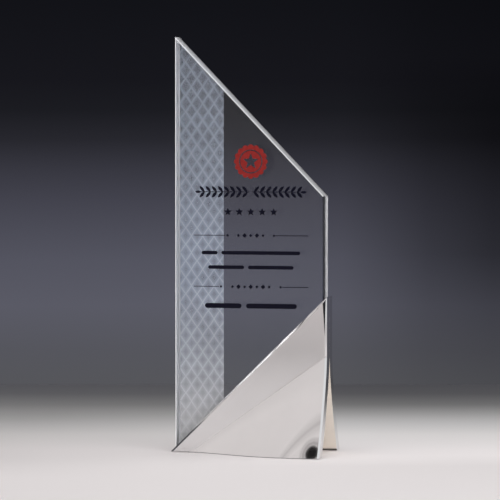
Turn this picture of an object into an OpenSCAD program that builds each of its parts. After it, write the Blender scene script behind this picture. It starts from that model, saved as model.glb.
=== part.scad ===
// Crystal award: a bevelled crystal blade with a slanted top, held along its diagonal foot
// in a channel between the two mirrored halves of a polished cast base.
// The halves meet back to back and flare apart into a front foot and a rear foot.
// Origin: on the floor, at the middle of the base. +X is the viewer's right, -Y the front.

/* [Overall] */
// Height from the floor to the crystal's tip
overall_h = 304.8; // [290:0.1:320]

/* [Crystal] */
// Width of the crystal
crystal_w = 111.6; // [100:0.1:115]
// Thickness of the crystal
crystal_t = 15; // [12:0.5:16]
// Height of the crystal's right corner
crystal_right_z = 188.6; // [170:0.1:200]
// Width of the polished bevel on every edge
crystal_bevel = 0.8; // [0.4:0.1:1.2]

/* [Base] */
// Width of the base
base_w = 117.2; // [116:0.1:124]
// Height of the base's right end
base_right_z = 115.6; // [105:0.1:125]
// Thickness of each half of the base
wing_t = 10.5; // [10:0.1:12]
// How far each foot reaches out past the flat upper part
foot_reach = 26.6; // [15:0.1:32]
// Height at which the right end begins to flare
flare_right_z = 74; // [60:1:80]
// Position along X at which the feet begin to flare
flare_left_x = -44; // [-50:1:-36]
// Width of the polished chamfer around each outer face
wing_chamfer = 1.4; // [0.8:0.1:2]

/* [Channel] */
// Depth of the channel below the sloping edge
channel_depth = 8; // [6:0.5:9]
// Thickness of the gasket in the channel
gasket_t = 0.6; // [0.4:0.1:0.8]
// Height of the crystal's level toe above the floor
toe_z = 3.2; // [3:0.1:4]

/* [Fasteners] */
// Nominal size of the clamp screws
screw_d = 5; // [4:0.5:5]
// Diameter of the countersunk heads
screw_head_d = 9.6; // [8:0.1:10]
// Diameter of the alignment dowels
dowel_d = 4; // [3:0.5:4]

/* [Feet] */
// Thickness of the foot pads
pad_t = 0.6; // [0.4:0.1:1]
// Distance of a pad from the foot's outer edge
pad_inset = 2; // [1.5:0.5:3]
// Width of the foot pads
pad_w = 5.5; // [4:0.5:6.5]

/* [Decoration] */
// Depth of the colour-filled pockets
fill_depth = 0.4; // [0.2:0.1:0.6]
// How far the colour fill stands proud of the crystal
fill_proud = 0.05; // [0.02:0.01:0.1]
// Radius of the emblem's body
emblem_r = 10.4; // [8:0.1:12]
// Height of the emblem's centre
emblem_z = 213.7; // [205:0.1:220]

/* [Hidden] */

half_w = base_w / 2;
crystal_half_w = crystal_w / 2;
seam = 0.05;
slope = (base_right_z - pad_t) / base_w;
slope_angle = atan(slope);
// Drop straight down from the sloping edge that moves a line square to it by one millimetre
drop_per_mm = 1 / cos(slope_angle);

// Height of the base's sloping edge above the floor
function edge_z(x) = pad_t + (x + half_w) * slope;
// Height of the line along which the halves begin to part
function flare_z(x) = flare_right_z * (x - flare_left_x) / (half_w - flare_left_x);

// Shape of the flare: how soon the foot reaches out from the left, how evenly it levels off,
// and how it curves upward
reach_start = 1.55;
reach_level = 3.5;
reach_rise = 1.35;

// Share of the full reach that the foot has at x: none at the left, full at the right
function foot_share(x) =
    let (u = min(1, max(0, (x - flare_left_x) / (half_w - flare_left_x))))
    1 - pow(1 - pow(u, reach_start), reach_level);
// How far a half has swung away from the other at a point
function flare(x, z) =
    x <= flare_left_x || z >= flare_z(x)
        ? 0
        : foot_reach * foot_share(x) * pow(1 - max(0, z) / flare_z(x), reach_rise);

// The curved part of a half is a triangular grid, from the point where the flare begins to the
// right end. steps is the number of grid columns, and column i has i + 1 points.
steps = 24;
// A layer drawn in by k is the outline of the chamfered outer face, and k = 0 the full outline
// Rise of the lower edge for each millimetre that a layer is drawn in
low_edge_rise = 0.4;
function low_z(k) = pad_t + k * low_edge_rise;
function grid_x(i, k) =
    let (
        last = half_w - k,
        first = flare_left_x + low_z(k) * (half_w - flare_left_x) / flare_right_z
    )
    first + (last - first) * i / steps;
function grid_point(i, j, k) =
    let (x = grid_x(i, k), share = i == 0 ? 0 : j / i)
    [x, low_z(k) + share * (flare_z(x) - low_z(k))];
function toe_point(k) = [(low_z(k) + k * drop_per_mm - pad_t) / slope - half_w, low_z(k)];
function peak_point(k) = [half_w - k, edge_z(half_w - k) - k * drop_per_mm];
function outline_grid(k) = concat(
    [for (i = [0:steps], j = [0:i]) grid_point(i, j, k)],
    [toe_point(k), peak_point(k)]
);
function at_depth(points, depth) = [for (p = points) [p[0], -(flare(p[0], p[1]) + depth), p[1]]];

function index(i, j) = i * (i + 1) / 2 + j;
toe_index = index(steps, steps) + 1;
peak_index = toe_index + 1;
layer_size = peak_index + 1;
// Points around the rim, anticlockwise seen from the front
rim = concat(
    [toe_index],
    [for (i = [0:steps]) index(i, 0)],
    [for (j = [1:steps]) index(steps, j)],
    [peak_index]
);

// One half of the base: outer face, chamfer, end faces and inner face
module wing_body() {
    outer = at_depth(outline_grid(wing_chamfer), wing_t);
    shoulder = at_depth(outline_grid(0), wing_t - wing_chamfer);
    inner = at_depth(outline_grid(0), seam / 2);
    curved = [
        for (i = [0:steps - 1], j = [0:i])
            each concat(
                [[index(i, j), index(i + 1, j + 1), index(i + 1, j)]],
                j < i ? [[index(i, j), index(i, j + 1), index(i + 1, j + 1)]] : []
            )
    ];
    // The flat upper part, as a fan from its peak down to the line where the flare begins
    flat = [
        [toe_index, peak_index, index(0, 0)],
        for (i = [0:steps - 1]) [peak_index, index(i + 1, i + 1), index(i, i)]
    ];
    front_faces = concat(curved, flat);
    back_faces = [
        for (face = front_faces)
            [for (n = [len(face) - 1:-1:0]) face[n] + 2 * layer_size]
    ];
    side_faces = [
        for (level = [0, layer_size], n = [0:len(rim) - 1])
            let (p = level + rim[n], q = level + rim[(n + 1) % len(rim)])
            each [[p, q, q + layer_size], [p, q + layer_size, p + layer_size]]
    ];
    polyhedron(concat(outer, shoulder, inner), concat(front_faces, side_faces, back_faces));
}

// Outline of the crystal, drawn out by g on every side that the channel holds
module crystal_outline(g = 0) {
    left = -crystal_half_w - g;
    right = crystal_half_w + g;
    foot_drop = (channel_depth + g) * drop_per_mm;
    toe = toe_z - g;
    knee_x = (toe + foot_drop - pad_t) / slope - half_w;
    polygon([
        [left, overall_h + g], [left, toe], [knee_x, toe],
        [right, edge_z(right) - foot_drop], [right, crystal_right_z + g]
    ]);
}

// Stands a flat drawing up in the XZ plane, with its thickness centred on y
module upright(thickness, y = 0) {
    translate([0, y + thickness / 2, 0]) rotate([90, 0, 0]) linear_extrude(thickness) children();
}

// Where the clamp screws and dowels sit, on the flat band below the channel
screw_x = [-14, 12, 40];
dowel_x = [-1, 27];
function band_z(x) = (edge_z(x) - channel_depth * drop_per_mm + flare_z(x)) / 2;

module crystal_body() {
    hull() {
        upright(crystal_t - 2 * crystal_bevel) crystal_outline();
        upright(crystal_t) offset(delta = -crystal_bevel) crystal_outline();
    }
}

module crystal_panel() {
    color([0.86, 0.93, 0.95, 0.45])
    difference() {
        crystal_body();
        fill_pocket() emblem_drawing();
        fill_pocket() inscription_drawing();
    }
}

// Channel that the crystal and its gasket sit in, cut into both halves
module channel() {
    upright(crystal_t + 2 * gasket_t) crystal_outline(gasket_t);
}

head_h = (screw_head_d - screw_d) / 2;
screw_clearance = 0.2;
sink_clearance = 0.3;
thread_depth = 7.5;
dowel_depth = 6;
round_fn = 48;

// Hole square to the flat faces, from the meeting plane into the front half (-1) or the rear half (1)
module bore(x, side, d, h) {
    translate([x, 0, band_z(x)]) rotate([side * -90, 0, 0]) cylinder(d = d, h = h, $fn = round_fn);
}

// Clearance hole and countersink through the rear half
module countersunk_bore(x) {
    sink_h = head_h + sink_clearance;
    bore(x, 1, screw_d + 2 * screw_clearance, wing_t + 1);
    translate([x, wing_t - sink_h, band_z(x)]) rotate([-90, 0, 0])
        cylinder(d1 = screw_d, d2 = screw_head_d + 2 * sink_clearance, h = sink_h, $fn = round_fn);
}

module front_wing() {
    color([0.80, 0.79, 0.78])
    difference() {
        wing_body();
        channel();
        for (x = screw_x) bore(x, -1, screw_d, thread_depth);
        for (x = dowel_x) bore(x, -1, dowel_d, dowel_depth);
    }
}

module rear_wing() {
    color([0.76, 0.75, 0.74])
    difference() {
        mirror([0, 1, 0]) wing_body();
        channel();
        for (x = screw_x) countersunk_bore(x);
        for (x = dowel_x) bore(x, 1, dowel_d, dowel_depth);
    }
}

// Liner of the channel: the channel's space less the crystal, trimmed flush with the sloping edge
module channel_gasket() {
    color([0.13, 0.13, 0.14])
    difference() {
        upright(crystal_t + 2 * gasket_t) intersection() {
            crystal_outline(gasket_t);
            below_edge();
        }
        upright(crystal_t) crystal_outline();
    }
}

// Everything under the base's sloping edge
module below_edge() {
    polygon([[-half_w, 0], [half_w, 0], [half_w, edge_z(half_w)], [-half_w, edge_z(-half_w)]]);
}

screw_play = 0.02;
socket_d = 3.4;
socket_depth = 2;
// Space left between the end of a screw or dowel and the bottom of its hole
end_gap = 0.5;

module clamp_screw() {
    shank_d = screw_d - 2 * screw_play;
    shank_end = thread_depth - end_gap;
    difference() {
        union() {
            translate([0, 0, -shank_end])
                cylinder(d = shank_d, h = shank_end + wing_t - head_h, $fn = round_fn);
            translate([0, 0, wing_t - head_h])
                cylinder(d1 = shank_d, d2 = screw_head_d, h = head_h, $fn = round_fn);
        }
        translate([0, 0, wing_t - socket_depth]) cylinder(d = socket_d, h = socket_depth + 1, $fn = 6);
    }
}

module clamp_screws() {
    color([0.35, 0.35, 0.37])
    for (x = screw_x) translate([x, 0, band_z(x)]) rotate([-90, 0, 0]) clamp_screw();
}

module alignment_dowels() {
    pin_length = 2 * (dowel_depth - end_gap);
    color([0.55, 0.55, 0.57])
    for (x = dowel_x)
        translate([x, pin_length / 2, band_z(x)]) rotate([90, 0, 0])
            cylinder(d = dowel_d - 2 * screw_play, h = pin_length, $fn = round_fn);
}

pad_from = -46;
pad_to = half_w - 5;
pad_steps = 16;

// Centre line of the front pad, following the curve of the foot
function pad_path(n) =
    let (x = pad_from + (pad_to - pad_from) * n / pad_steps)
    [x, -(flare(x, 0) + wing_t - pad_inset - pad_w / 2)];

module foot_pad() {
    front = [for (n = [0:pad_steps]) pad_path(n) - [0, pad_w / 2]];
    back = [for (n = [pad_steps:-1:0]) pad_path(n) + [0, pad_w / 2]];
    linear_extrude(pad_t) polygon(concat(front, back));
}

module front_foot_pad() {
    color([0.62, 0.62, 0.63]) foot_pad();
}

module rear_foot_pad() {
    color([0.62, 0.62, 0.63]) mirror([0, 1, 0]) foot_pad();
}

// Pocket in the crystal's front face, and the colour that fills it and stands slightly proud
module fill_pocket() {
    front_y = -crystal_t / 2;
    upright(fill_depth + 1, front_y + (fill_depth - 1) / 2) children();
}

module fill_body() {
    front_y = -crystal_t / 2;
    upright(fill_depth + fill_proud, front_y + (fill_depth - fill_proud) / 2) children();
}

// Five-pointed star with one point up
module star(r) {
    inner_share = 0.42;
    polygon([
        for (n = [0:9])
            let (reach = n % 2 == 0 ? r : r * inner_share, turn = 90 + n * 36)
            [reach * cos(turn), reach * sin(turn)]
    ]);
}

petals = 16;
ring_fn = 96;
small_fn = 24;
// The whole drawing sits this far right of the crystal's middle
mark_x = 1.3;

// Scalloped award rosette with a clear ring and a clear star
module emblem_drawing() {
    ring_out = emblem_r * 0.84;
    ring_in = emblem_r * 0.76;
    petal_r = emblem_r * 0.21;
    star_r = emblem_r * 0.6;
    translate([mark_x, emblem_z]) difference() {
        union() {
            circle(r = emblem_r, $fn = ring_fn);
            for (n = [0:petals - 1])
                rotate(n * 360 / petals) translate([emblem_r, 0]) circle(r = petal_r, $fn = small_fn);
        }
        difference() {
            circle(r = ring_out, $fn = ring_fn);
            circle(r = ring_in, $fn = ring_fn);
        }
        star(star_r);
    }
}

module emblem_fill() {
    color([0.70, 0.13, 0.11]) fill_body() emblem_drawing();
}

// A blank text line: a bar with round ends
module bar(x0, x1, h) {
    translate([x0 + h / 2, -h / 2]) square([x1 - x0 - h, h]);
    for (x = [x0 + h / 2, x1 - h / 2]) translate([x, 0]) circle(d = h, $fn = small_fn);
}

// One pointed leaf, made of two crossing arcs, growing from the origin along +X
module leaf(length, width) {
    r = (length * length + width * width) / (4 * width);
    translate([length / 2, 0]) intersection() {
        translate([0, r - width / 2]) circle(r = r, $fn = 64);
        translate([0, -r + width / 2]) circle(r = r, $fn = 64);
    }
}

line_w = 0.5;
leaf_pairs = 8;
leaf_pitch = 4.6;
leaf_turn = 48;
leaf_length = 5.6;
leaf_width = 2.1;
branch_start = 1;

// A branch of paired leaves, with one at its tip, that runs out to one side
module branch() {
    stem_length = leaf_pairs * leaf_pitch;
    translate([branch_start, -line_w / 2]) square([stem_length, line_w]);
    for (n = [0:leaf_pairs - 1], side = [-1, 1])
        translate([2.5 * branch_start + n * leaf_pitch, 0])
            rotate(side * leaf_turn) leaf(leaf_length, leaf_width);
    translate([stem_length + branch_start / 2, 0]) leaf(leaf_length * 0.82, leaf_width * 0.9);
}

dot_r = 0.8;

// Rule with a dot at its inner end, on both sides of a centre ornament
module rule(inner_x, outer_x) {
    for (side = [-1, 1]) {
        translate([side * (inner_x + outer_x) / 2, 0])
            square([outer_x - inner_x, line_w], center = true);
        translate([side * (inner_x - 2 * dot_r), 0]) circle(r = dot_r, $fn = small_fn);
    }
}

lozenge_pitch = 4.6;
lozenge_size = 1.6;

// Row of lozenges, small and large by turns
module lozenges(count) {
    for (n = [0:count - 1]) {
        size = lozenge_size * (n % 2 == 0 ? 1 : 1.5);
        translate([(n - (count - 1) / 2) * lozenge_pitch, 0]) rotate(45) square(size, center = true);
    }
}

laurel_z = 191.5;
stars_z = 176.9;
star_pitch = 8.6;
small_star_r = 3.1;
// Each rule: height, inner and outer end, and the lozenges in the middle
rules = [[159.7, 19, 43, 5], [122.2, 24, 43, 7]];
// Each blank text line: height, thickness, and the ends of its left and right bars
text_lines = [
    [147, 2.6, [-37, -25], [-22, 37]],
    [136.4, 2.6, [-32, -5], [-2, 32]],
    [108.2, 3.6, [-34.5, -7], [-3.4, 34.5]]
];

module inscription_drawing() {
    translate([mark_x, laurel_z]) {
        mirror([1, 0]) branch();
        branch();
    }
    for (n = [-2:2]) translate([mark_x + n * star_pitch, stars_z]) star(small_star_r);
    for (row = rules)
        translate([mark_x, row[0]]) {
            rule(row[1], row[2]);
            lozenges(row[3]);
        }
    for (row = text_lines, ends = [row[2], row[3]])
        translate([mark_x, row[0]]) bar(ends[0], ends[1], row[1]);
}

module inscription_fill() {
    color([0.07, 0.07, 0.12]) fill_body() inscription_drawing();
}

crystal_panel();
front_wing();
rear_wing();
channel_gasket();
clamp_screws();
alignment_dowels();
front_foot_pad();
rear_foot_pad();
emblem_fill();
inscription_fill();
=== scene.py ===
"""Crystal award: a bevelled crystal blade in a flared, mirror-polished metal base.

The CAD nodes are the frame. The crystal and the two halves of the base are redrawn here with fine
curved surfaces, from the CAD's dimensions but for the departures named below. The other nodes stay
and get materials. Lengths of the award and the camera are written in millimetres, and those of the
floor and the lights in metres.
"""

import math

import bpy
from mathutils import Matrix, Vector


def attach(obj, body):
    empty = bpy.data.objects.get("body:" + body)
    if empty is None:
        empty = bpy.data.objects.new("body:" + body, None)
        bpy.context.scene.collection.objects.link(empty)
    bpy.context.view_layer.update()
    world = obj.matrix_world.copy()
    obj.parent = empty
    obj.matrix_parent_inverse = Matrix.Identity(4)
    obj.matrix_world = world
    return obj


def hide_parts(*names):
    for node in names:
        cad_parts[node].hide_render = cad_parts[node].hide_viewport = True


MM = 0.001

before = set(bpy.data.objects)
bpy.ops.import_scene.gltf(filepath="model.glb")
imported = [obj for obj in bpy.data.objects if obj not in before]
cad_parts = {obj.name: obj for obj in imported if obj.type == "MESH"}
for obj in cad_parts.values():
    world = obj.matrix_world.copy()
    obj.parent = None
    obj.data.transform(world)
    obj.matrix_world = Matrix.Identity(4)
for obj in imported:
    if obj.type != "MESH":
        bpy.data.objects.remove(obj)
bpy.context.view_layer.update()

# ---------------------------------------------------------------- dimensions, as in the CAD source

OVERALL_H = 304.8
CRYSTAL_W = 111.6
CRYSTAL_T = 15.0
CRYSTAL_RIGHT_Z = 188.6
CRYSTAL_BEVEL = 0.8
BASE_W = 117.2
BASE_RIGHT_Z = 115.6
WING_T = 10.5
FOOT_REACH = 26.6
FLARE_RIGHT_Z = 74.0
FLARE_LEFT_X = -44.0
WING_CHAMFER = 1.4
CHANNEL_DEPTH = 8.0
GASKET_T = 0.6
TOE_Z = 3.2
PAD_T = 0.6
SEAM = 0.05
REACH_START = 1.55
REACH_LEVEL = 3.5
REACH_RISE = 1.35
SCREW_D = 5.0
SCREW_HEAD_D = 9.6
SCREW_X = (-14.0, 12.0, 40.0)
SCREW_CLEARANCE = 0.2
SINK_CLEARANCE = 0.3

HALF_W = BASE_W / 2
SLOPE = (BASE_RIGHT_Z - PAD_T) / BASE_W
DROP_PER_MM = math.hypot(1.0, SLOPE)
TOP_SLOPE = (CRYSTAL_RIGHT_Z - OVERALL_H) / CRYSTAL_W

# ---------------------------------------------------------------- departures from the CAD

# The lower edge of the redrawn halves: a little nearer the floor and flatter, as the photo shows
LOW_EDGE_GAP = 0.4
LOW_EDGE_RISE = 0.15

# The flare begins with this much easing, so that its reflections run on smoothly
FLARE_EASE = 0.08

# The narrow facet beside the right chamfer: the heights between which it widens, how far it then
# reaches in from the chamfer, and how steeply it falls away
FACET_LOW = 87.0
FACET_HIGH = 108.0
FACET_REACH = 1.3
FACET_FALL = 0.27

# The frosted lattice on the crystal's rear face: its band, its diamond cells and its raised lines
BAND_LEFT = -CRYSTAL_W / 2 + CRYSTAL_BEVEL
BAND_RIGHT = -21.8
BAND_UNDER_METAL = 3.0
CELL_W = 8.6
CELL_H = 12.2
LINE_W = 0.6
LINE_WAVE = 0.3
LINE_MARGIN = 0.3
LINE_Y = (CRYSTAL_T / 2 + 0.01, CRYSTAL_T / 2 + 0.12)
SKIN_Y = (CRYSTAL_T / 2 + 0.13, CRYSTAL_T / 2 + 0.15)


def edge_z(x):
    """Height of the base's sloping edge."""
    return PAD_T + (x + HALF_W) * SLOPE


def flare_z(x):
    """Height of the line along which the halves begin to part."""
    return FLARE_RIGHT_Z * (x - FLARE_LEFT_X) / (HALF_W - FLARE_LEFT_X)


def flare(x, z):
    """How far a half has swung away from the other at a point."""
    along = min(1.0, max(0.0, (x - FLARE_LEFT_X) / (HALF_W - FLARE_LEFT_X)))
    if along <= 0 or z >= flare_z(x):
        return 0.0
    share = 1 - (1 - along**REACH_START) ** REACH_LEVEL
    down = 1 - max(0.0, z) / flare_z(x)
    eased = (math.hypot(down, FLARE_EASE) - FLARE_EASE) / (math.hypot(1, FLARE_EASE) - FLARE_EASE)
    return FOOT_REACH * share * eased**REACH_RISE


def band_z(x):
    """Height of the clamp screws, on the flat band below the channel."""
    return (edge_z(x) - CHANNEL_DEPTH * DROP_PER_MM + flare_z(x)) / 2


def crystal_outline(grow=0.0):
    """Corners of the crystal, anticlockwise seen from the front, drawn out by grow."""
    left = -CRYSTAL_W / 2 - grow
    right = CRYSTAL_W / 2 + grow
    foot_drop = (CHANNEL_DEPTH + grow) * DROP_PER_MM
    toe = TOE_Z - grow
    knee_x = (toe + foot_drop - PAD_T) / SLOPE - HALF_W
    return [
        (left, toe),
        (knee_x, toe),
        (right, edge_z(right) - foot_drop),
        (right, CRYSTAL_RIGHT_Z + grow),
        (left, OVERALL_H + grow),
    ]


# ---------------------------------------------------------------- camera

CAMERA_TURN = math.radians(13.5)
CAMERA_AIM_LEFT = math.radians(0.026)
CAMERA_PITCH = math.radians(2.24)
CAMERA_DISTANCE = 2216.7
CAMERA_HEIGHT = 235.55
CAMERA_SENSOR = 36
CAMERA_LENS = 218.06


def make_camera():
    data = bpy.data.cameras.new("camera")
    data.sensor_width = CAMERA_SENSOR
    data.lens = CAMERA_LENS
    data.clip_start = 0.05
    data.clip_end = 60
    camera = bpy.data.objects.new("camera", data)
    bpy.context.scene.collection.objects.link(camera)
    camera.location = (
        CAMERA_DISTANCE * math.sin(CAMERA_TURN) * MM,
        -CAMERA_DISTANCE * math.cos(CAMERA_TURN) * MM,
        CAMERA_HEIGHT * MM,
    )
    camera.rotation_euler = (
        math.pi / 2 - CAMERA_PITCH,
        0,
        CAMERA_TURN + CAMERA_AIM_LEFT,
    )
    bpy.context.scene.camera = camera


make_camera()

# ---------------------------------------------------------------- helpers


def link(name, mesh, material=None):
    obj = bpy.data.objects.new(name, mesh)
    bpy.context.scene.collection.objects.link(obj)
    if material is not None:
        mesh.materials.append(material)
    return obj


def mesh_from(name, points, faces):
    """A mesh from points in millimetres."""
    mesh = bpy.data.meshes.new(name)
    mesh.from_pydata([tuple(c * MM for c in p) for p in points], [], faces)
    mesh.validate()
    mesh.update()
    return mesh


def shades(stops, tint=(1.0, 1.0, 1.0)):
    """Stops of a colour ramp, from places and strengths of one tint."""
    return [(at, tuple(c * strength for c in tint)) for at, strength in stops]


class Nodes:
    """Short calls for building the node tree of a material or a world."""

    def __init__(self, name, world=False):
        made = bpy.data.worlds if world else bpy.data.materials
        self.owner = made.new(name)
        self.owner.use_nodes = True
        self.tree = self.owner.node_tree
        self.tree.nodes.clear()
        kind = "ShaderNodeOutputWorld" if world else "ShaderNodeOutputMaterial"
        self.output = self.tree.nodes.new(kind)

    def add(self, kind, **settings):
        node = self.tree.nodes.new("ShaderNode" + kind)
        for key, value in settings.items():
            setattr(node, key, value)
        return node

    def join(self, source, target):
        self.tree.links.new(source, target)

    def fill(self, socket, value):
        """Joins a value from another node to a socket, or sets a colour or a number there."""
        if isinstance(value, bpy.types.NodeSocket):
            self.join(value, socket)
        elif isinstance(value, tuple):
            socket.default_value = (*value, 1.0)
        else:
            socket.default_value = value

    def place(self):
        return self.add("TexCoord").outputs["Object"]

    def math(self, operation, a, b=None):
        node = self.add("Math", operation=operation)
        self.fill(node.inputs[0], a)
        if b is not None:
            self.fill(node.inputs[1], b)
        return node.outputs[0]

    def split(self, vector):
        node = self.add("SeparateXYZ")
        self.join(vector, node.inputs[0])
        return node.outputs

    def turn(self, vector, angle):
        """The vector turned about Z."""
        node = self.add("VectorRotate", rotation_type="Z_AXIS")
        node.inputs["Angle"].default_value = angle
        self.join(vector, node.inputs["Vector"])
        return node.outputs[0]

    def length(self, vector):
        node = self.add("VectorMath", operation="LENGTH")
        self.join(vector, node.inputs[0])
        return node.outputs["Value"]

    def glow(self, colour, strength):
        node = self.add("Emission")
        node.inputs["Strength"].default_value = strength
        self.fill(node.inputs["Color"], colour)
        return node.outputs[0]

    def mix_colours(self, share, first, second, blend_type="MIX"):
        """The first colour, giving way to the second or multiplied by it as share grows."""
        node = self.add("Mix", data_type="RGBA", blend_type=blend_type)
        for socket, value in zip((node.inputs[0], node.inputs[6], node.inputs[7]), (share, first, second)):
            self.fill(socket, value)
        return node.outputs[2]

    def mix_shaders(self, share, first, second):
        """The first shader, giving way to the second as share grows."""
        node = self.add("MixShader")
        self.fill(node.inputs[0], share)
        self.join(first, node.inputs[1])
        self.join(second, node.inputs[2])
        return node.outputs[0]

    def noise(self, vector, scale, detail=3.0, roughness=0.5):
        node = self.add("TexNoise")
        node.inputs["Scale"].default_value = scale
        node.inputs["Detail"].default_value = detail
        node.inputs["Roughness"].default_value = roughness
        self.join(vector, node.inputs["Vector"])
        return node.outputs["Fac"]

    def stretch(self, vector, scale):
        node = self.add("Mapping")
        node.inputs["Scale"].default_value = scale
        self.join(vector, node.inputs["Vector"])
        return node.outputs["Vector"]

    def ramp(self, factor, stops, interpolation="LINEAR"):
        node = self.add("ValToRGB")
        node.color_ramp.interpolation = interpolation
        while len(node.color_ramp.elements) < len(stops):
            node.color_ramp.elements.new(0.5)
        for element, (at, colour) in zip(node.color_ramp.elements, stops):
            element.position = at
            element.color = (*colour, 1.0)
        self.join(factor, node.inputs["Fac"])
        return node.outputs["Color"]

    def spread(self, factor, low, high, out_low=0.0, out_high=1.0):
        """The factor's range from low to high, spread over the range of out_low to out_high."""
        node = self.add("MapRange")
        for key, value in (
            ("From Min", low),
            ("From Max", high),
            ("To Min", out_low),
            ("To Max", out_high),
        ):
            node.inputs[key].default_value = value
        self.join(factor, node.inputs["Value"])
        return node.outputs["Result"]

    def bump(self, height, strength, distance):
        node = self.add("Bump")
        node.inputs["Strength"].default_value = strength
        node.inputs["Distance"].default_value = distance
        self.join(height, node.inputs["Height"])
        return node.outputs["Normal"]

    def principled(self, **values):
        node = self.add("BsdfPrincipled")
        for key, value in values.items():
            self.fill(node.inputs[key.replace("_", " ")], value)
        return node.outputs[0]

    def finish(self, shader):
        self.join(shader, self.output.inputs["Surface"])
        return self.owner


# ---------------------------------------------------------------- materials


def polished_metal(name, tint, roughness, grain):
    """Mirror-polished casting: a faint cloudiness in tone and gloss, and polishing lines."""
    n = Nodes(name)
    place = n.place()
    cloud = n.noise(place, scale=38, detail=4, roughness=0.55)
    lines = n.noise(n.stretch(place, (900, 900, 60)), scale=1.0, detail=3, roughness=0.6)
    shader = n.principled(
        Base_Color=n.ramp(cloud, shades([(0.3, 0.965), (0.7, 1.0)], tint)),
        Metallic=1.0,
        Roughness=n.spread(cloud, 0.3, 0.7, roughness * 0.8, roughness * 1.3),
        Normal=n.bump(lines, grain, 0.00002),
    )
    return n.finish(shader)


# Painted shade on the inner faces along the floor, standing in for the shadow under their lower edge, and
# the heights it fades between
LINING_PAINTED_SHADE = (0.05, 0.04, 0.035)
LINING_PAINTED_SHADE_Z = (1.1 * MM, 2.2 * MM)


def satin_lining(name, tint):
    """The inner faces: cast, brushed and lacquered, warmer and duller than the outside, with painted shade
    along the floor.
    """
    n = Nodes(name)
    place = n.place()
    cloud = n.noise(place, scale=70, detail=4, roughness=0.6)
    brushed = n.noise(n.stretch(place, (1400, 1400, 40)), scale=1.0, detail=3, roughness=0.6)
    # Painted shade: dark along the floor, fading out between the two heights
    painted_shade_fade = n.spread(n.split(place)[2], *LINING_PAINTED_SHADE_Z)
    lacquer = n.ramp(cloud, shades([(0.3, 0.93), (0.7, 1.0)], tint))
    shader = n.principled(
        Base_Color=n.mix_colours(painted_shade_fade, LINING_PAINTED_SHADE, lacquer),
        Metallic=0.1,
        Roughness=n.spread(cloud, 0.3, 0.7, 0.42, 0.52),
        Normal=n.bump(brushed, 0.2, 0.00004),
    )
    return n.finish(shader)


def crystal_glass(name, tint):
    """Crystal with a cool tint. Clear, so only the shader's own values are set.

    The index is below real crystal's, because the photo's faces mirror less of the softbox.
    """
    n = Nodes(name)
    shader = n.principled(
        Base_Color=tint,
        Roughness=0.0,
        IOR=1.30,
        Transmission_Weight=1.0,
    )
    return n.finish(shader)


EDGE_TONE = (0.94, 0.95, 0.98)


def crystal_edge(name, clear, clear_behind=None, tones=None):
    """A ground and polished narrow face, more or less clear, which catches light along its length.

    With clear_behind, it clears towards the rear face. tones gives painted light and shade across it, from
    front to rear.
    """
    n = Nodes(name)
    place = n.place()
    half = CRYSTAL_T / 2 * MM
    if clear_behind is not None:
        clear = n.spread(n.split(place)[1], -half, half * 0.3, clear, clear_behind)
    colour = EDGE_TONE
    # tones, where given, paints light and shade across the face from front to rear
    if tones is not None:
        colour = n.ramp(n.spread(n.split(place)[1], -half, half), shades(tones, EDGE_TONE))
    waves = n.noise(n.stretch(place, (60, 900, 60)), scale=1.0, detail=3, roughness=0.6)
    shader = n.principled(
        Base_Color=colour,
        Roughness=0.3,
        IOR=1.52,
        Transmission_Weight=clear,
        Normal=n.bump(waves, 0.15, 0.0001),
    )
    return n.finish(shader)


# Share of the frosting's light that comes from behind it
FROST_THROUGH = 0.4
# Painted light: the frosting's tone at the foot, paler than higher up
FROST_FOOT_PAINTED_LIGHT = (1.0, 0.99, 0.97)
# How densely the frosting covers the glass, by height as a share of the crystal's
FROST_COVER = [(0.06, 1.0), (0.10, 0.95), (0.165, 0.66), (0.26, 0.46), (0.65, 0.45), (0.85, 0.37)]
# How densely it covers the middle of a cell and its rim
CELL_COVER = (0.74, 1.14)


def frost(name, opacity, tone, cells=False):
    """Etched frosting: a thin milky layer, denser in some places and, with cells, at each cell's rim."""
    n = Nodes(name)
    place = n.place()
    grain = n.noise(place, scale=2400, detail=2, roughness=0.6)
    cloud = n.noise(place, scale=60, detail=3, roughness=0.5)
    x, _, z = n.split(place)
    height = n.spread(z, 0.0, OVERALL_H * MM)
    # Painted light and shade: the frosting paler towards the foot and darker towards the top
    painted_light_by_height = n.ramp(height, [(0.08, FROST_FOOT_PAINTED_LIGHT), (0.42, tone), (1.0, tuple(c * 0.84 for c in tone))])
    patches = n.ramp(cloud, shades([(0.3, 0.93), (0.7, 1.0)]))
    colour = n.mix_colours(1.0, painted_light_by_height, patches, "MULTIPLY")
    body = n.principled(
        Base_Color=colour,
        Roughness=0.7,
        Specular_IOR_Level=0.2,
        Normal=n.bump(grain, 0.2, 0.00003),
    )
    uneven = n.math("MULTIPLY", n.math("ADD", grain, cloud), 0.5)
    cover = n.spread(uneven, 0.3, 0.7, opacity * 0.88, opacity * 1.12)
    cover = n.math("MULTIPLY", cover, n.ramp(height, shades(FROST_COVER)))
    if cells:
        across = n.math("DIVIDE", n.math("SUBTRACT", x, BAND_LEFT * MM), CELL_W * MM)
        up = n.math("DIVIDE", z, CELL_H * MM)
        rims = [
            n.math("ABSOLUTE", n.math("SUBTRACT", n.math("FRACT", n.math(way, up, across)), 0.5))
            for way in ("ADD", "SUBTRACT")
        ]
        cover = n.math("MULTIPLY", cover, n.spread(n.math("MAXIMUM", *rims), 0.12, 0.5, *CELL_COVER))
    through = n.add("BsdfTranslucent")
    n.join(colour, through.inputs["Color"])
    milky = n.mix_shaders(FROST_THROUGH, body, through.outputs[0])
    clear = n.add("BsdfTransparent").outputs[0]
    return n.finish(n.mix_shaders(cover, clear, milky))


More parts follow.
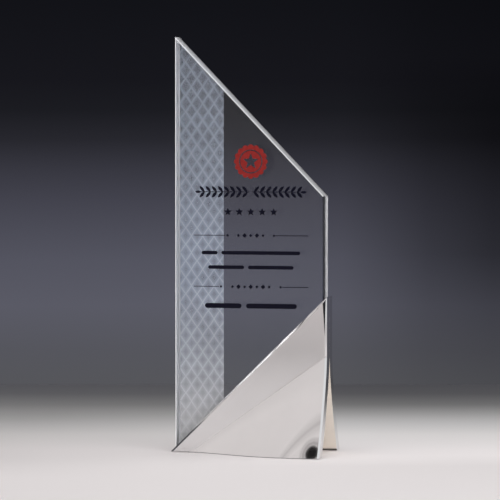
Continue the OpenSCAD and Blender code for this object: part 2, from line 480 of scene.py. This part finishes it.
def enamel(name, colour, deep):
    """Colour fill in the engraving: satin, with slight pooling."""
    n = Nodes(name)
    pool = n.noise(n.place(), scale=420, detail=3, roughness=0.6)
    shader = n.principled(
        Base_Color=n.ramp(pool, [(0.35, deep), (0.65, colour)]),
        Roughness=n.spread(pool, 0.3, 0.7, 0.4, 0.55),
        Specular_IOR_Level=0.1,
        Normal=n.bump(pool, 0.15, 0.00004),
    )
    return n.finish(shader)


def rubber(name, tone):
    """Matt rubber with a fine moulded grain."""
    n = Nodes(name)
    grain = n.noise(n.place(), scale=1800, detail=3, roughness=0.6)
    shader = n.principled(
        Base_Color=n.ramp(grain, shades([(0.35, 0.7), (0.65, 1.0)], tone)),
        Roughness=n.spread(grain, 0.3, 0.7, 0.75, 0.9),
        Normal=n.bump(grain, 0.3, 0.00005),
    )
    return n.finish(shader)


def turned_steel(name, tone):
    """Steel with rings left by turning."""
    n = Nodes(name)
    rings = n.noise(n.stretch(n.place(), (400, 2600, 400)), scale=1.0, detail=2, roughness=0.5)
    shader = n.principled(
        Base_Color=n.ramp(rings, shades([(0.3, 0.85), (0.7, 1.0)], tone)),
        Metallic=1.0,
        Roughness=n.spread(rings, 0.3, 0.7, 0.25, 0.4),
        Normal=n.bump(rings, 0.2, 0.00003),
    )
    return n.finish(shader)


# Painted light and shade across the right and top edges, from front to rear
RIGHT_EDGE_PAINTED_LIGHT_AND_SHADE = [(0.0, 0.03), (0.28, 0.05), (0.5, 0.9), (0.75, 1.0)]
TOP_EDGE_PAINTED_LIGHT_AND_SHADE = [(0.0, 0.85), (0.6, 0.72), (0.84, 0.3), (1.0, 0.08)]


METAL = polished_metal("polished_metal", (0.81, 0.805, 0.805), 0.05, 0.04)
INNER = satin_lining("cast_inner_face", (0.84, 0.772, 0.695))
CRYSTAL = crystal_glass("crystal", (0.85, 0.865, 0.905))
SHADED = crystal_glass("crystal_shaded_bevel", (0.06, 0.06, 0.08))
BEVEL = crystal_edge("crystal_bevel", 0.05)
EDGE = crystal_edge("crystal_edge", 0.45)
RIGHT_EDGE = crystal_edge("crystal_right_edge", 0.45, tones=RIGHT_EDGE_PAINTED_LIGHT_AND_SHADE)
TOP_EDGE = crystal_edge("crystal_top_edge", 0.45, tones=TOP_EDGE_PAINTED_LIGHT_AND_SHADE)
WALL = crystal_edge("crystal_left_wall", 0.05, clear_behind=0.45)
FROST = frost("lattice_frost", 0.86, (0.82, 0.90, 1.0), cells=True)
FROST_LINE = frost("lattice_line", 1.15, (0.90, 0.95, 1.0))

NODE_MATERIALS = {
    "channel_gasket": rubber("gasket_rubber", (0.030, 0.030, 0.032)),
    "clamp_screws": turned_steel("screw_steel", (0.36, 0.36, 0.38)),
    "alignment_dowels": turned_steel("dowel_steel", (0.60, 0.60, 0.62)),
    "front_foot_pad": rubber("pad_rubber", (0.50, 0.50, 0.51)),
    "emblem_fill": enamel("red_enamel", (0.245, 0.022, 0.020), (0.19, 0.016, 0.014)),
    "inscription_fill": enamel("dark_enamel", (0.004, 0.004, 0.012), (0.0025, 0.0025, 0.008)),
}
NODE_MATERIALS["rear_foot_pad"] = NODE_MATERIALS["front_foot_pad"]

for node, material in NODE_MATERIALS.items():
    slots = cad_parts[node].data.materials
    for i in range(len(slots)):
        slots[i] = material
    if len(slots) == 0:
        slots.append(material)

# ---------------------------------------------------------------- base halves

# Columns in the curved grid of each half
STEPS = 96


def low_z(inset):
    """Height of a half's lower edge, where it is set in by inset."""
    return LOW_EDGE_GAP + inset * LOW_EDGE_RISE


def wing_layer(inset, depth):
    """Points of one layer: the curved grid, then the toe, then the peak. Same order as the CAD."""
    low = low_z(inset)
    last = HALF_W - inset
    first = FLARE_LEFT_X + low * (HALF_W - FLARE_LEFT_X) / FLARE_RIGHT_Z
    points = []
    for i in range(STEPS + 1):
        x = first + (last - first) * i / STEPS
        for j in range(i + 1):
            share = j / i if i else 0
            points.append((x, low + share * (flare_z(x) - low)))
    points.append(((low + inset * DROP_PER_MM - PAD_T) / SLOPE - HALF_W, low))
    points.append((last, edge_z(last) - inset * DROP_PER_MM))
    return [(x, -(flare(x, z) + depth), z) for x, z in points]


def grid_index(i, j):
    return i * (i + 1) // 2 + j


TOE = grid_index(STEPS, STEPS) + 1
PEAK = TOE + 1
LAYER = PEAK + 1
OUTER_SLOT = 0
INNER_SLOT = 1


def wing_mesh(name, side):
    """One half as a closed mesh. side is -1 for the front half and 1 for the rear one."""
    layers = [
        wing_layer(WING_CHAMFER, WING_T),
        wing_layer(0, WING_T - WING_CHAMFER),
        wing_layer(0, SEAM / 2),
    ]
    points = [(x, -side * y, z) for layer in layers for x, y, z in layer]
    face = [[TOE, grid_index(0, 0), PEAK]]
    for i in range(STEPS):
        face.append([PEAK, grid_index(i, i), grid_index(i + 1, i + 1)])
        for j in range(i + 1):
            face.append([grid_index(i, j), grid_index(i + 1, j), grid_index(i + 1, j + 1)])
            if j < i:
                face.append([grid_index(i, j), grid_index(i + 1, j + 1), grid_index(i, j + 1)])
    rim = [TOE]
    rim += [grid_index(i, 0) for i in range(STEPS + 1)]
    rim += [grid_index(STEPS, j) for j in range(1, STEPS + 1)]
    rim += [PEAK]
    walls = []
    for level in (0, LAYER):
        for n, start in enumerate(rim):
            p = level + start
            q = level + rim[(n + 1) % len(rim)]
            walls.append([q, p, p + LAYER, q + LAYER])
    inner = [[v + 2 * LAYER for v in reversed(f)] for f in face]
    faces = face + walls + inner
    if side > 0:
        faces = [list(reversed(f)) for f in faces]
    mesh = mesh_from(name, points, faces)
    first_inner = len(face) + len(walls)
    for n, polygon in enumerate(mesh.polygons):
        polygon.material_index = INNER_SLOT if n >= first_inner else OUTER_SLOT
    return mesh


def loft_mesh(name, near, far):
    """A closed solid between two rings with the same number of points."""
    count = len(near)
    faces = [list(range(count)), list(range(2 * count - 1, count - 1, -1))]
    for n in range(count):
        m = (n + 1) % count
        faces.append([m, n, n + count, m + count])
    return mesh_from(name, near + far, faces)


def prism_mesh(name, outline, depth):
    """An outline in X and Z, anticlockwise, stood up from the first to the second Y of depth."""
    near, far = [[(x, y, z) for x, z in outline] for y in depth]
    return loft_mesh(name, near, far)


def cut(obj, cutter):
    """Takes cutter away from obj, for good."""
    modifier = obj.modifiers.new("cut", "BOOLEAN")
    modifier.operation = "DIFFERENCE"
    modifier.solver = "EXACT"
    modifier.object = cutter
    bpy.context.view_layer.update()
    depsgraph = bpy.context.evaluated_depsgraph_get()
    made = bpy.data.meshes.new_from_object(obj.evaluated_get(depsgraph))
    obj.modifiers.clear()
    old = obj.data
    obj.data = made
    bpy.data.meshes.remove(old)
    bpy.data.objects.remove(cutter)


# How far the piece taken away for the facet runs past it, along the edge and sideways, and outwards
FACET_MARGIN = 4
FACET_DEPTH = 2


def facet_mesh(side):
    """What to take off one half's flat face to leave the narrow facet at its right edge."""
    lean = -FACET_REACH / (FACET_HIGH - FACET_LOW)
    edge = HALF_W - WING_CHAMFER
    bottom = FACET_LOW - FACET_MARGIN
    top = BASE_RIGHT_Z + FACET_MARGIN
    points = []
    for out in (0, FACET_DEPTH):
        for z, across in ((bottom, 0), (bottom, FACET_MARGIN), (top, FACET_MARGIN), (top, 0)):
            x = edge + lean * (z - FACET_LOW) + across
            points.append((x, side * (WING_T - FACET_FALL * across + out), z))
    faces = [[0, 1, 2, 3], [7, 6, 5, 4], [0, 4, 5, 1], [1, 5, 6, 2], [2, 6, 7, 3], [3, 7, 4, 0]]
    if side < 0:
        faces = [list(reversed(f)) for f in faces]
    return mesh_from("facet", points, faces)


def cone_mesh(name, x, y0, y1, r0, r1, sides=64):
    """A cone or cylinder along Y at a clamp screw's place."""
    turns = [2 * math.pi * n / sides for n in range(sides)]
    near, far = [
        [(x + r * math.cos(turn), y, band_z(x) + r * math.sin(turn)) for turn in turns]
        for y, r in ((y0, r0), (y1, r1))
    ]
    return loft_mesh(name, near, far)


def make_wing(node, side):
    obj = link(node + "_polished", wing_mesh(node + "_polished", side))
    obj.data.materials.append(METAL)
    obj.data.materials.append(INNER)
    wall = CRYSTAL_T / 2 + GASKET_T
    channel = prism_mesh("channel", crystal_outline(GASKET_T), (-wall, wall))
    cut(obj, link("channel", channel))
    cut(obj, link("facet", facet_mesh(side)))
    if side > 0:
        shank_r = SCREW_D / 2 + SCREW_CLEARANCE
        sink_low = WING_T - (SCREW_HEAD_D - SCREW_D) / 2 - SINK_CLEARANCE
        # The sink's cone runs on past the flat face, and widens as steeply there
        sink_high = WING_T + SINK_CLEARANCE
        sink_r = SCREW_HEAD_D / 2 + 2 * SINK_CLEARANCE
        for x in SCREW_X:
            cut(obj, link("hole", cone_mesh("hole", x, -1, WING_T + 1, shank_r, shank_r)))
            cut(obj, link("sink", cone_mesh("sink", x, sink_low, sink_high, SCREW_D / 2, sink_r)))
    obj.data.shade_smooth()
    obj.data.set_sharp_from_angle(angle=math.radians(12))
    # Large flat faces keep their own direction, and only the small curved ones blend
    weighted = obj.modifiers.new("weighted_normals", "WEIGHTED_NORMAL")
    weighted.mode = "FACE_AREA"
    weighted.weight = 80
    weighted.keep_sharp = True
    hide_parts(node)
    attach(obj, "root")


make_wing("front_wing", -1)
make_wing("rear_wing", 1)

# ---------------------------------------------------------------- crystal

GLASS_SLOT = 0
EDGE_SLOT = 1
BEVEL_SLOT = 2
SHADED_SLOT = 3
WALL_SLOT = 4
RIGHT_SLOT = 5
TOP_SLOT = 6
# What each side of crystal_outline is made of, in its order: front bevel, narrow face, rear bevel
SIDE_SLOTS = [
    (GLASS_SLOT, EDGE_SLOT, GLASS_SLOT),
    (GLASS_SLOT, EDGE_SLOT, GLASS_SLOT),
    (SHADED_SLOT, RIGHT_SLOT, EDGE_SLOT),
    (EDGE_SLOT, TOP_SLOT, GLASS_SLOT),
    (BEVEL_SLOT, WALL_SLOT, WALL_SLOT),
]


def inset_outline(outline, inset):
    """A convex outline, anticlockwise, with every side moved in by inset."""
    lines = []
    count = len(outline)
    for n in range(count):
        ax, az = outline[n]
        bx, bz = outline[(n + 1) % count]
        length = math.hypot(bx - ax, bz - az)
        dx, dz = (bx - ax) / length, (bz - az) / length
        lines.append((ax - dz * inset, az + dx * inset, dx, dz))
    corners = []
    for n in range(count):
        ax, az, adx, adz = lines[n - 1]
        bx, bz, bdx, bdz = lines[n]
        cross = adx * bdz - adz * bdx
        t = ((bx - ax) * bdz - (bz - az) * bdx) / cross
        corners.append((ax + adx * t, az + adz * t))
    return corners


def make_crystal():
    outline = crystal_outline()
    inner = inset_outline(outline, CRYSTAL_BEVEL)
    half = CRYSTAL_T / 2
    rings = [
        [(x, -half, z) for x, z in inner],
        [(x, -half + CRYSTAL_BEVEL, z) for x, z in outline],
        [(x, half - CRYSTAL_BEVEL, z) for x, z in outline],
        [(x, half, z) for x, z in inner],
    ]
    count = len(outline)
    points = [p for ring in rings for p in ring]
    faces = [list(range(count)), [v + 3 * count for v in reversed(range(count))]]
    slots = [GLASS_SLOT, GLASS_SLOT]
    for level in range(3):
        for n in range(count):
            m = (n + 1) % count
            base = level * count
            faces.append([base + m, base + n, base + n + count, base + m + count])
            slots.append(SIDE_SLOTS[n][level])
    mesh = mesh_from("crystal_blade", points, faces)
    obj = link("crystal_blade", mesh)
    for material in (CRYSTAL, EDGE, BEVEL, SHADED, WALL, RIGHT_EDGE, TOP_EDGE):
        mesh.materials.append(material)
    for polygon, slot in zip(mesh.polygons, slots):
        polygon.material_index = slot
    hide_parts("crystal_panel")
    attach(obj, "root")


make_crystal()

# ---------------------------------------------------------------- frosted lattice on the rear face

# Steps along each line, and rows beyond the band at each end whose sloping lines still cross it
PATH_STEPS = 100
SPARE_ROWS = 8


def band_top(x):
    """Height of the slanted top's bevel line on the flat face."""
    inset = CRYSTAL_BEVEL * math.hypot(1.0, TOP_SLOPE)
    return OVERALL_H + (x + CRYSTAL_W / 2) * TOP_SLOPE - inset


def band_bottom(x):
    """The lattice runs down to where the metal covers the crystal, and a little on behind it."""
    return edge_z(x) - BAND_UNDER_METAL


def inside_band(x, z, margin=0.0):
    return (
        BAND_LEFT + margin < x < BAND_RIGHT - margin
        and band_bottom(x) < z < band_top(x) - margin
    )


def ridge(points, faces, path):
    """A closed rib along a path in X and Z: flat against the crystal, with a crest behind."""
    start = len(points)
    for n, (x, z) in enumerate(path):
        ax, az = path[max(0, n - 1)]
        bx, bz = path[min(len(path) - 1, n + 1)]
        length = math.hypot(bx - ax, bz - az)
        nx, nz = -(bz - az) / length * LINE_W / 2, (bx - ax) / length * LINE_W / 2
        points.append((x + nx, LINE_Y[0], z + nz))
        points.append((x - nx, LINE_Y[0], z - nz))
        points.append((x, LINE_Y[1], z))
    for n in range(len(path) - 1):
        a = start + 3 * n
        for p, q in ((0, 1), (1, 2), (2, 0)):
            faces.append([a + p, a + q, a + q + 3, a + p + 3])
    last = start + 3 * (len(path) - 1)
    faces.append([start + 2, start + 1, start])
    faces.append([last, last + 1, last + 2])


def lattice_lines():
    """The two crossing families of gently waved lines, cut off at the edges of the band."""
    points, faces = [], []
    slope = CELL_H / CELL_W
    rows = int(OVERALL_H / CELL_H) + SPARE_ROWS
    for way in (-1, 1):
        for row in range(-SPARE_ROWS, rows):
            path = []
            # One step past the end closes the last path
            for n in range(PATH_STEPS + 2):
                x = BAND_LEFT + (BAND_RIGHT - BAND_LEFT) * n / PATH_STEPS
                phase = (x - BAND_LEFT) / CELL_W
                wave = LINE_WAVE * math.sin(2 * math.pi * phase) * way
                z = row * CELL_H + way * slope * (x - BAND_LEFT) + wave
                if n <= PATH_STEPS and inside_band(x, z, LINE_MARGIN):
                    path.append((x, z))
                    continue
                if len(path) > 1:
                    ridge(points, faces, path)
                path = []
    return points, faces


def make_lattice():
    corners = [
        (BAND_LEFT, band_bottom(BAND_LEFT)),
        (BAND_RIGHT, band_bottom(BAND_RIGHT)),
        (BAND_RIGHT, band_top(BAND_RIGHT)),
        (BAND_LEFT, band_top(BAND_LEFT)),
    ]
    skin = prism_mesh("lattice_frost", corners, SKIN_Y)
    frosted = link("lattice_frost", skin, FROST)
    points, faces = lattice_lines()
    lines = link("lattice_lines", mesh_from("lattice_lines", points, faces), FROST_LINE)
    for obj in (frosted, lines):
        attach(obj, "root")


make_lattice()

# ---------------------------------------------------------------- studio

# Tone of the floor, with painted light and shade, by the distance behind the award, in metres
FLOOR_TONES = [
    (-1.6, (0.86, 0.82, 0.82)),
    (-1.25, (0.72, 0.69, 0.69)),
    (-0.95, (0.57, 0.545, 0.545)),
    (-0.45, (0.70, 0.67, 0.67)),
    (-0.1, (0.74, 0.705, 0.705)),
    (0.02, (0.745, 0.71, 0.71)),
    (0.135, (0.66, 0.64, 0.635)),
    (0.215, (0.52, 0.51, 0.51)),
    (0.30, (0.36, 0.355, 0.355)),
    (0.39, (0.20, 0.199, 0.201)),
    (0.50, (0.116, 0.116, 0.124)),
    (0.60, (0.104, 0.104, 0.116)),
]

FAR_GREY = (0.095, 0.095, 0.108)
# Distances from the floor's middle between which it goes over to FAR_GREY
FAR_FROM = (2.6, 4.5)

# Painted light and shade on the floor, as corrections to its tone. Places are in metres to the
# right or behind, and each pair of them is where a change begins and ends.

# Painted light: how much paler the floor is beside and behind the award on the right
RIGHT_PAINTED_LIGHT = 0.18
RIGHT_ACROSS = (-0.05, 0.15)
RIGHT_SHARES = [(0.0, 0.0), (0.5, 1.0), (1.0, 0.85)]
RIGHT_BEHIND = (-0.09, -0.02)
# Painted shade: how much darker it is on the left, and what share of that is left in front
LEFT_PAINTED_SHADE = 0.15
LEFT_ACROSS = (-0.19, -0.07)
LEFT_BEHIND = (-0.16, -0.05)
LEFT_FRONT_SHARE = 0.25
# Where both of these end
BOTH_END_BEHIND = (0.26, 0.40)
# Painted light: how much paler it is at the far left, where it meets the backdrop
FAR_LEFT_PAINTED_LIGHT = 0.15
FAR_LEFT_BEHIND = (0.30, 0.50)
FAR_LEFT_ACROSS = (-0.02, 0.14)


def floor_painted_light_and_shade(n, across, behind):
    """Painted light and shade: how much paler or darker a place on the floor is than its distance behind
    gives.
    """
    right = n.ramp(n.spread(across, *RIGHT_ACROSS), shades(RIGHT_SHARES))
    right = n.math("MULTIPLY", right, n.spread(behind, *RIGHT_BEHIND, 0.0, RIGHT_PAINTED_LIGHT))
    left = n.spread(across, *LEFT_ACROSS, -LEFT_PAINTED_SHADE, 0.0)
    left = n.math("MULTIPLY", left, n.spread(behind, *LEFT_BEHIND, LEFT_FRONT_SHARE, 1.0))
    both = n.math("MULTIPLY", n.math("ADD", right, left), n.spread(behind, *BOTH_END_BEHIND, 1.0, 0.0))
    far_left = n.spread(across, *FAR_LEFT_ACROSS, FAR_LEFT_PAINTED_LIGHT, 0.0)
    far_left = n.math("MULTIPLY", n.spread(behind, *FAR_LEFT_BEHIND), far_left)
    return n.math("ADD", both, far_left)


def floor_material():
    """Pale sweep: bright round the award, and falling into shade some way behind it."""
    n = Nodes("studio_floor")
    place = n.place()
    across, behind, _ = n.split(place)
    low, high = FLOOR_TONES[0][0], FLOOR_TONES[-1][0]
    away = n.spread(behind, low, high)
    by_depth = n.ramp(away, [((at - low) / (high - low), tone) for at, tone in FLOOR_TONES])
    colour = n.add("VectorMath", operation="SCALE")
    n.join(by_depth, colour.inputs[0])
    n.join(n.math("ADD", floor_painted_light_and_shade(n, across, behind), 1.0), colour.inputs["Scale"])
    lit = n.principled(Base_Color=colour.outputs[0], Roughness=0.9)
    far = n.spread(n.length(place), *FAR_FROM)
    return n.finish(n.mix_shaders(far, lit, n.glow(FAR_GREY, 1.0)))
# Tone of the backdrop by the height of the line of sight, as a slope: low, then high
BACKDROP = [
    (-0.100, FAR_GREY),
    (-0.0837, (0.092, 0.093, 0.103)),
    (-0.0721, (0.092, 0.093, 0.110)),
    (-0.0572, (0.102, 0.103, 0.131)),
    (-0.0424, (0.088, 0.089, 0.116)),
    (-0.0226, (0.056, 0.056, 0.075)),
    (-0.0127, (0.039, 0.039, 0.052)),
    (-0.0028, (0.0205, 0.0205, 0.027)),
    (0.0071, (0.0112, 0.0115, 0.0152)),
    (0.0170, (0.0085, 0.0085, 0.0118)),
    (0.0418, (0.0062, 0.0065, 0.0090)),
]
# Tone of the backdrop across the view, from just left of its middle to the right, and how much of
# that tone counts at each share of BACKDROP's height
BACKDROP_ACROSS = (-0.02, 0.48)
BACKDROP_SHADES = [(0.0, 1.0), (0.1, 0.90), (0.156, 0.47), (0.2, 0.28), (0.4, 0.28), (0.9, 0.8)]
BACKDROP_SHARES = [(0.1, 0.3), (0.42, 1.0), (0.7, 1.0), (0.88, 0.45)]


def make_world():
    """Backdrop light: a soft grey glow low down, darker above and to the right."""
    n = Nodes("studio", world=True)
    way = n.split(n.turn(n.add("TexCoord").outputs["Generated"], -CAMERA_TURN))
    low, high = BACKDROP[0][0], BACKDROP[-1][0]
    height = n.spread(way[2], low, high)
    colour = n.ramp(height, [((at - low) / (high - low), tone) for at, tone in BACKDROP])
    shade = n.ramp(n.spread(way[0], *BACKDROP_ACROSS), shades(BACKDROP_SHADES))
    share = n.ramp(height, shades(BACKDROP_SHARES))
    back = n.add("Background")
    n.join(n.mix_colours(share, colour, shade, "MULTIPLY"), back.inputs["Color"])
    bpy.context.scene.world = n.finish(back.outputs[0])


SOFTBOX_TINT = (1.0, 0.945, 0.94)
SOFTBOX_STRENGTH = 0.80


def softbox_material(name, tint, strength, half_height, foot_tone):
    """A panel of light that weakens towards its lower edge."""
    n = Nodes(name)
    up = n.spread(n.split(n.place())[1], -half_height, half_height)
    tones = [(0.0, foot_tone), (0.12, foot_tone), (0.45, 0.95), (0.6, 1.0), (1.0, 0.94)]
    return n.finish(n.glow(n.ramp(up, shades(tones, tint)), strength))


def rings_material(stops, radius, strength):
    """Round card whose tone changes from its centre out to its rim."""
    n = Nodes("ring_card")
    out = n.spread(n.length(n.place()), 0.0, radius)
    return n.finish(n.glow(n.ramp(out, shades(stops, SOFTBOX_TINT)), strength))


def strip_material(half_width, middle, strength):
    """Long card, darker along its middle line."""
    n = Nodes("strip_card")
    off = n.spread(n.math("ABSOLUTE", n.split(n.place())[0]), 0.0, half_width)
    tones = [(0.0, middle), (0.25, (middle + 1) / 2), (1.0, 1.0)]
    return n.finish(n.glow(n.ramp(off, shades(tones, SOFTBOX_TINT), "EASE"), strength))


def card(name, azimuth, elevation, distance, outline, material, turn=0.0, seen_from=(0, 0, 0.05)):
    """A flat card that faces seen_from. Azimuth 0 is the front, and positive is towards +X."""
    a, e = math.radians(azimuth), math.radians(elevation)
    way = Vector((math.sin(a) * math.cos(e), -math.cos(a) * math.cos(e), math.sin(e)))
    mesh = bpy.data.meshes.new(name)
    mesh.from_pydata([(x, y, 0) for x, y in outline], [], [list(range(len(outline)))])
    obj = link(name, mesh, material)
    facing = (-way).to_track_quat("Z", "Y").to_matrix()
    spun = facing @ Matrix.Rotation(math.radians(turn), 3, "Z")
    obj.rotation_euler = spun.to_euler()
    obj.location = way * distance + Vector(seen_from)
    obj.visible_camera = False
    obj.visible_shadow = False
    return obj


def rectangle(width, height):
    w, h = width / 2, height / 2
    return [(-w, -h), (w, -h), (w, h), (-w, h)]


def disc(radius, sides=64):
    turns = [2 * math.pi * n / sides for n in range(sides)]
    return [(radius * math.cos(turn), radius * math.sin(turn)) for turn in turns]


def lamp(name, place, width, depth, watts, aim=None, shadow=True):
    """A lamp that shines straight down, or at aim, and doesn't show in reflections."""
    light = bpy.data.lights.new(name, "AREA")
    light.shape = "RECTANGLE"
    light.size = width
    light.size_y = depth
    light.energy = watts
    light.use_shadow = shadow
    obj = bpy.data.objects.new(name, light)
    bpy.context.scene.collection.objects.link(obj)
    obj.location = place
    if aim is not None:
        obj.rotation_euler = (Vector(aim) - Vector(place)).to_track_quat("-Z", "Y").to_euler()
    obj.visible_glossy = False
    obj.visible_camera = False


# How far the floor reaches to each side, to the front and behind
FLOOR_SIDE = 6.0
FLOOR_FRONT = 6.0
FLOOR_BACK = 0.6


def make_floor():
    """Sweep under the award, turned to the camera, which ends where the backdrop takes over."""
    mesh = bpy.data.meshes.new("floor")
    corners = [
        (-FLOOR_SIDE, -FLOOR_FRONT, 0),
        (FLOOR_SIDE, -FLOOR_FRONT, 0),
        (FLOOR_SIDE, FLOOR_BACK, 0),
        (-FLOOR_SIDE, FLOOR_BACK, 0),
    ]
    mesh.from_pydata(corners, [], [[0, 1, 2, 3]])
    floor = link("floor", mesh, floor_material())
    floor.rotation_euler = (0, 0, CAMERA_TURN)


# Where the front foot's lower right corner mirrors the gap above the front softbox
CORNER = (0.0528, -0.0354, 0.0045)


def make_lights():
    panel = softbox_material("softbox", SOFTBOX_TINT, SOFTBOX_STRENGTH, 0.95, 0.93)
    card("front_left_softbox", -46, 27, 1.5, rectangle(2.74, 1.9), panel)
    side = softbox_material("side_softbox", (0.97, 0.98, 1.0), 0.9, 0.6, 0.9)
    card("right_softbox", 80, 16, 1.5, rectangle(0.9, 1.2), side)
    # Seen in the polished rear half alone, so that the floor and the crystal keep their light
    rear = card("rear_left_softbox", -146, 24, 1.5, rectangle(1.7, 1.7), panel)
    rear.visible_diffuse = False
    rear.visible_transmission = False
    lit = bpy.data.collections.new("lit_by_rear_softbox")
    lit.objects.link(bpy.data.objects["rear_wing_polished"])
    rear.light_linking.receiver_collection = lit
    reach = 1.1
    radius = reach * math.tan(math.radians(5.5))
    rings = [
        (0.0, 0.01),
        (0.42, 0.01),
        (0.49, 0.84),
        (0.56, 0.60),
        (0.65, 0.46),
        (0.74, 0.84),
        (0.85, 0.68),
        (1.0, 1.0),
    ]
    ring_card = rings_material(rings, radius, SOFTBOX_STRENGTH)
    card("corner_rings", -22.9, 48.6, reach, disc(radius), ring_card, seen_from=CORNER)
    half_width = reach * math.tan(math.radians(4.0))
    strip = strip_material(half_width, 0.70, SOFTBOX_STRENGTH)
    shape = rectangle(2 * half_width, 0.40)
    card("streak", -36.5, 48.5, reach + 0.05, shape, strip, turn=-28, seen_from=CORNER)

    # Dark to the front right, for the narrow facet, and dim behind on the left, for the slope's chamfer
    for name, azimuth, elevation, tone in (
        ("front_right_flag", 26, 4, 0.03),
        ("rear_left_flag", -102, 31, 0.10),
    ):
        flag_material = Nodes(name)
        plain = flag_material.finish(flag_material.glow((tone, tone, tone * 1.1), 1.0))
        flag = card(name, azimuth, elevation, 0.9, rectangle(0.34, 0.42), plain)
        flag.visible_diffuse = False
        flag.visible_transmission = False

    award = (0, 0, 0.06)
    lamp("overhead", (0.35, 0.0, 1.9), 1.4, 1.2, 21)
    lamp("front_overhead", (-0.4, -1.1, 2.0), 1.8, 1.4, 9)
    lamp("front_right_low", (0.85, -0.85, 0.27), 0.8, 0.4, 7.5, aim=award)
    lamp("left_side", (-1.3, -0.35, 0.5), 0.6, 0.9, 7.5, aim=award, shadow=False)


make_floor()
make_world()
make_lights()
bpy.context.scene.view_settings.view_transform = "Standard"
